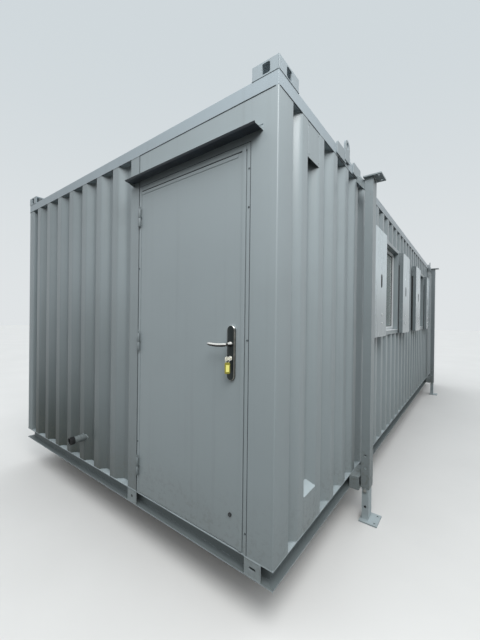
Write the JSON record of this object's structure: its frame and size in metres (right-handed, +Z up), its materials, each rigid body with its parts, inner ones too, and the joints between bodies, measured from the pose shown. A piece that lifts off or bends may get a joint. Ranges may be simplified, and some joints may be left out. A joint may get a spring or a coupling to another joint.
{
  "type": "portable site cabin",
  "caption": "Steel site cabin with corrugated walls, an end door, shuttered windows along one side and sliding jacklegs that hold it off the ground.",
  "frame": {"origin": "on the ground under the middle of the overall bounding box", "axes": "+Z up, +Y along the cabin away from the door end, +X towards the side with the windows"},
  "size_m": [3.438, 7.738, 2.8389],
  "materials": {
    "cabin_paint": "satin",
    "floor_board": "satin",
    "wall_board": "satin",
    "handle_chrome": "polished",
    "key_brass": "polished",
    "buffer_rubber": "matte",
    "waste_plastic": "satin",
    "sash_plastic": "gloss",
    "pane_glass": "gloss"
  },
  "bodies": {
    "cabin": {"base_channel_front": "cabin_paint", "base_channel_back": "cabin_paint", "base_channel_left": "cabin_paint", "base_channel_right": "cabin_paint", "tie_plates": "cabin_paint", "floor_joists": "cabin_paint", "floor_deck": "floor_board", "corner_posts": "cabin_paint", "roof_rail_front": "cabin_paint", "roof_rail_back": "cabin_paint", "roof_rail_left": "cabin_paint", "roof_rail_right": "cabin_paint", "front_wall_skin": "cabin_paint", "back_wall_skin": "cabin_paint", "left_wall_skin": "cabin_paint", "right_wall_skin": "cabin_paint", "front_wall_lining": "wall_board", "back_wall_lining": "wall_board", "left_wall_lining": "wall_board", "right_wall_lining": "wall_board", "over_door_lining": "wall_board", "beside_door_panel": "cabin_paint", "over_door_panel": "cabin_paint", "ceiling_panel": "wall_board", "roof_sheet": "cabin_paint", "corner_blocks": "cabin_paint", "lifting_lugs": "cabin_paint", "door_frame": "cabin_paint", "frame_hinges": "cabin_paint", "door_hood": "cabin_paint", "waste_pipe": "waste_plastic", "service_covers": "cabin_paint", "window_surrounds": "cabin_paint", "window_sashes": "sash_plastic", "window_glass": "pane_glass", "front_window_shutters": "cabin_paint", "rear_window_shutters": "cabin_paint", "jackleg_sleeves": "cabin_paint", "jackleg_brackets": "cabin_paint"},
    "door": {"door_leaf": "cabin_paint", "door_leaf_lining": "wall_board", "leaf_hinges": "cabin_paint", "handle_backplate": "handle_chrome", "lock_cylinder": "handle_chrome", "door_keys": "key_brass", "door_buffer": "buffer_rubber"},
    "lever": {"lever_handle": "handle_chrome"},
    "front_left_leg": {"jackleg_front_left": "cabin_paint"},
    "front_right_leg": {"jackleg_front_right": "cabin_paint"},
    "back_left_leg": {"jackleg_back_left": "cabin_paint"},
    "back_right_leg": {"jackleg_back_right": "cabin_paint"}
  },
  "joints": [
    {"name": "door_swing", "type": "hinge", "parent": "cabin", "child": "door", "pos_m": [0.4575, -3.763, 1.438], "axis": [0, 0, -1], "range_deg": [0, 160]},
    {"name": "lever_press", "type": "hinge", "parent": "door", "child": "lever", "pos_m": [1.262, -3.761, 1.413], "axis": [0, -1, 0], "range_deg": [0, 35], "stiffness_Nm_per_rad": 1.5, "springref_deg": -22.92},
    {"name": "front_left_leg_slide", "type": "slide", "parent": "cabin", "child": "front_left_leg", "axis": [0, 0, -1], "range_m": [0, 0.3]},
    {"name": "front_right_leg_slide", "type": "slide", "parent": "cabin", "child": "front_right_leg", "axis": [0, 0, -1], "range_m": [0, 0.3]},
    {"name": "back_left_leg_slide", "type": "slide", "parent": "cabin", "child": "back_left_leg", "axis": [0, 0, -1], "range_m": [0, 0.3]},
    {"name": "back_right_leg_slide", "type": "slide", "parent": "cabin", "child": "back_right_leg", "axis": [0, 0, -1], "range_m": [0, 0.3]}
  ]
}
